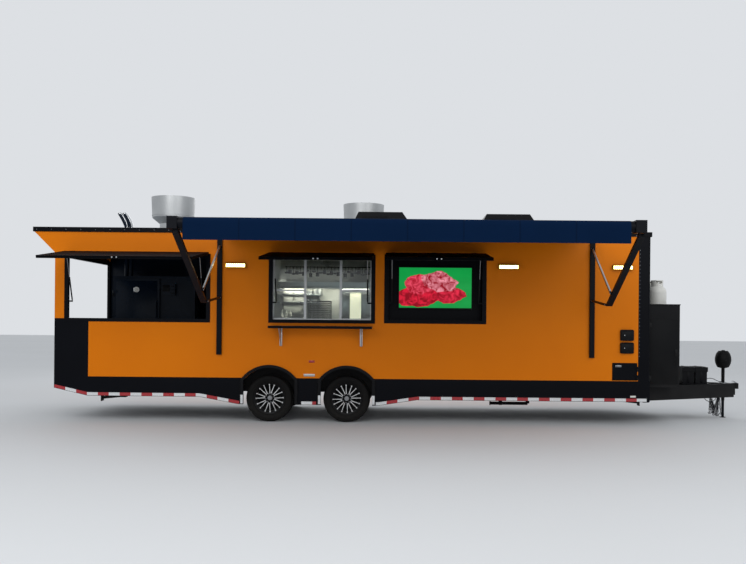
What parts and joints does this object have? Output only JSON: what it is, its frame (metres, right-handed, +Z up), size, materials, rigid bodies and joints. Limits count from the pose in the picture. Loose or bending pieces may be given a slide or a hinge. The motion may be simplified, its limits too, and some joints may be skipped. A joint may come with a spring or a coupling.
{
  "type": "bbq smoker trailer",
  "caption": "Tandem-axle barbecue smoker trailer with a screened rear porch, serving and screen hatches on gas struts, an extended side awning and an A-frame tongue on its jack.",
  "frame": {"origin": "centre of the coupler's ball socket, on the centreline; the ground is 0.56 m below", "axes": "+X forward along the tongue, +Y to the roadside (the serving side is -Y), +Z up"},
  "size_m": [12.089, 5.345, 3.832],
  "materials": {
    "orange_paint": "gloss automotive paint",
    "black_paint": "gloss black paint",
    "chassis_black": "satin black chassis paint",
    "roof_sheet": "white mill sheet",
    "white_panel": "white interior panel",
    "floor_plate": "tread plate",
    "stainless": "brushed stainless",
    "spun_aluminium": "spun aluminium",
    "window_aluminium": "anodised",
    "glass": "clear",
    "screen": "flat panel display",
    "canopy_fabric": "navy coated awning cloth",
    "awning_black": "satin black",
    "tyre": "black sidewall",
    "rim": "machined and black",
    "smoker_steel": "dark painted steel",
    "gas_white": "white enamel",
    "black_plastic": "moulded",
    "lamp": "clear lens lamp",
    "zinc": "zinc plated"
  },
  "bodies": {
    "root": {"awning_arms": "awning_black", "awning_canopy": "canopy_fabric", "axles": "chassis_black", "battery_boxes": "black_plastic", "chassis_frame": "chassis_black", "coupler": "chassis_black", "exhaust_fans": "spun_aluminium", "fender_flares": "black_plastic", "floor_deck": "floor_plate", "front_cabinet": "black_paint", "gas_cylinders": "gas_white", "hinge_fittings": "chassis_black", "kitchen_fittings": "stainless", "light_bars": "lamp", "lower_panels": "black_paint", "opening_frames": "black_paint", "partition": "white_panel", "power_inlets": "black_plastic", "rear_frame": "black_paint", "roof": "roof_sheet", "roof_coolers": "black_plastic", "roof_edge": "black_paint", "safety_chains": "zinc", "screen_cabinet": "black_paint", "screen_panel": "screen", "serving_shelf": "stainless", "smoker_body": "smoker_steel", "tongue_jack": "chassis_black", "wall_curbside": "orange_paint", "wall_front": "black_paint", "wall_roadside": "orange_paint", "window_frame": "window_aluminium", "window_glass": "glass"},
    "wheel_front_curbside": {"tyre_front_curbside": "tyre", "rim_front_curbside": "rim"},
    "stabiliser_front_curbside": {"stabiliser_leg_front_curbside": "chassis_black"},
    "wheel_front_roadside": {"tyre_front_roadside": "tyre", "rim_front_roadside": "rim"},
    "stabiliser_front_roadside": {"stabiliser_leg_front_roadside": "chassis_black"},
    "wheel_rear_curbside": {"tyre_rear_curbside": "tyre", "rim_rear_curbside": "rim"},
    "stabiliser_rear_curbside": {"stabiliser_leg_rear_curbside": "chassis_black"},
    "wheel_rear_roadside": {"tyre_rear_roadside": "tyre", "rim_rear_roadside": "rim"},
    "stabiliser_rear_roadside": {"stabiliser_leg_rear_roadside": "chassis_black"},
    "jack_leg": {"jack_leg": "zinc"},
    "hatch_porch": {"hatch_porch": "black_paint"},
    "strut_tubes_porch": {"strut_tubes_porch": "black_paint"},
    "strut_rods_porch": {"strut_rods_porch": "zinc"},
    "hatch_serving": {"hatch_serving": "black_paint"},
    "strut_tubes_serving": {"strut_tubes_serving": "black_paint"},
    "strut_rods_serving": {"strut_rods_serving": "zinc"},
    "hatch_screen": {"hatch_screen": "black_paint"},
    "strut_tubes_screen": {"strut_tubes_screen": "black_paint"},
    "strut_rods_screen": {"strut_rods_screen": "zinc"},
    "rear_door_curbside": {"rear_door_curbside": "black_paint"},
    "rear_door_roadside": {"rear_door_roadside": "black_paint"},
    "entry_door": {"entry_door": "orange_paint"},
    "access_door": {"access_door": "black_paint"},
    "smoker_door": {"smoker_door": "smoker_steel"}
  },
  "joints": [
    {"name": "wheel_front_curbside_spin", "type": "hinge", "parent": "root", "child": "wheel_front_curbside", "pos_m": [-6.889, -1.1525, -0.171], "axis": [0, 1, 0], "continuous": true},
    {"name": "wheel_front_roadside_spin", "type": "hinge", "parent": "root", "child": "wheel_front_roadside", "pos_m": [-6.889, 1.1525, -0.171], "axis": [0, 1, 0], "continuous": true},
    {"name": "wheel_rear_curbside_spin", "type": "hinge", "parent": "root", "child": "wheel_rear_curbside", "pos_m": [-8.157, -1.1525, -0.171], "axis": [0, 1, 0], "continuous": true},
    {"name": "wheel_rear_roadside_spin", "type": "hinge", "parent": "root", "child": "wheel_rear_roadside", "pos_m": [-8.157, 1.1525, -0.171], "axis": [0, 1, 0], "continuous": true},
    {"name": "jack_leg_slide", "type": "slide", "parent": "root", "child": "jack_leg", "axis": [0, 0, 1], "range_m": [0, 0.28]},
    {"name": "hatch_porch_hinge", "type": "hinge", "parent": "root", "child": "hatch_porch", "pos_m": [-10.3255, -1.33, 2.195], "axis": [1, 0, 0], "range_deg": [0, 82]},
    {"name": "strut_tubes_porch_pivot", "type": "hinge", "parent": "root", "child": "strut_tubes_porch", "pos_m": [-10.3255, -1.275, 1.395], "axis": [1, 0, 0], "range_deg": [-19.95, 0]},
    {"name": "strut_rods_porch_slide", "type": "slide", "parent": "strut_tubes_porch", "child": "strut_rods_porch", "axis": [0, -0.3252, 0.9456], "range_m": [-0.1536, 0]},
    {"name": "hatch_serving_hinge", "type": "hinge", "parent": "root", "child": "hatch_serving", "pos_m": [-7.3055, -1.33, 2.202], "axis": [1, 0, 0], "range_deg": [0, 82]},
    {"name": "strut_tubes_serving_pivot", "type": "hinge", "parent": "root", "child": "strut_tubes_serving", "pos_m": [-7.3055, -1.275, 1.402], "axis": [1, 0, 0], "range_deg": [-19.95, 0]},
    {"name": "strut_rods_serving_slide", "type": "slide", "parent": "strut_tubes_serving", "child": "strut_rods_serving", "axis": [0, -0.3252, 0.9456], "range_m": [-0.1536, 0]},
    {"name": "hatch_screen_hinge", "type": "hinge", "parent": "root", "child": "hatch_screen", "pos_m": [-5.4485, -1.33, 2.214], "axis": [1, 0, 0], "range_deg": [0, 82]},
    {"name": "strut_tubes_screen_pivot", "type": "hinge", "parent": "root", "child": "strut_tubes_screen", "pos_m": [-5.4485, -1.275, 1.414], "axis": [1, 0, 0], "range_deg": [-19.95, 0]},
    {"name": "strut_rods_screen_slide", "type": "slide", "parent": "strut_tubes_screen", "child": "strut_rods_screen", "axis": [0, -0.3252, 0.9456], "range_m": [-0.1536, 0]},
    {"name": "rear_door_curbside_hinge", "type": "hinge", "parent": "root", "child": "rear_door_curbside", "pos_m": [-11.689, -1.19, 0.544], "axis": [0, 0, 1], "range_deg": [0, 110]},
    {"name": "rear_door_roadside_hinge", "type": "hinge", "parent": "root", "child": "rear_door_roadside", "pos_m": [-11.689, 1.19, 0.544], "axis": [0, 0, 1], "range_deg": [-110, 0]},
    {"name": "entry_door_hinge", "type": "hinge", "parent": "root", "child": "entry_door", "pos_m": [-3.307, 1.307, 1.144], "axis": [0, 0, 1], "range_deg": [-120, 0]},
    {"name": "access_door_hinge", "type": "hinge", "parent": "root", "child": "access_door", "pos_m": [-2.132, -1.307, 0.314], "axis": [0, 0, 1], "range_deg": [0, 110]},
    {"name": "smoker_door_hinge", "type": "hinge", "parent": "root", "child": "smoker_door", "pos_m": [-11.253, 0.29, 1.044], "axis": [0, 0, 1], "range_deg": [-110, 0]},
    {"name": "stabiliser_rear_curbside_hinge", "type": "hinge", "parent": "root", "child": "stabiliser_rear_curbside", "pos_m": [-10.577, -1.12, -0.154], "axis": [0, 1, 0], "range_deg": [-85, 0]},
    {"name": "stabiliser_rear_roadside_hinge", "type": "hinge", "parent": "root", "child": "stabiliser_rear_roadside", "pos_m": [-10.577, 1.12, -0.154], "axis": [0, 1, 0], "range_deg": [-85, 0]},
    {"name": "stabiliser_front_curbside_hinge", "type": "hinge", "parent": "root", "child": "stabiliser_front_curbside", "pos_m": [-2.427, -1.12, -0.154], "axis": [0, 1, 0], "range_deg": [0, 85]},
    {"name": "stabiliser_front_roadside_hinge", "type": "hinge", "parent": "root", "child": "stabiliser_front_roadside", "pos_m": [-2.427, 1.12, -0.154], "axis": [0, 1, 0], "range_deg": [0, 85]}
  ],
  "couplings": [
    {"joint": "strut_tubes_porch_pivot", "follows": "hatch_porch_hinge", "ratio": -0.23958},
    {"joint": "strut_rods_porch_slide", "follows": "hatch_porch_hinge", "m_per_rad": -0.10591},
    {"joint": "strut_tubes_serving_pivot", "follows": "hatch_serving_hinge", "ratio": -0.23958},
    {"joint": "strut_rods_serving_slide", "follows": "hatch_serving_hinge", "m_per_rad": -0.10591},
    {"joint": "strut_tubes_screen_pivot", "follows": "hatch_screen_hinge", "ratio": -0.23958},
    {"joint": "strut_rods_screen_slide", "follows": "hatch_screen_hinge", "m_per_rad": -0.10591}
  ]
}
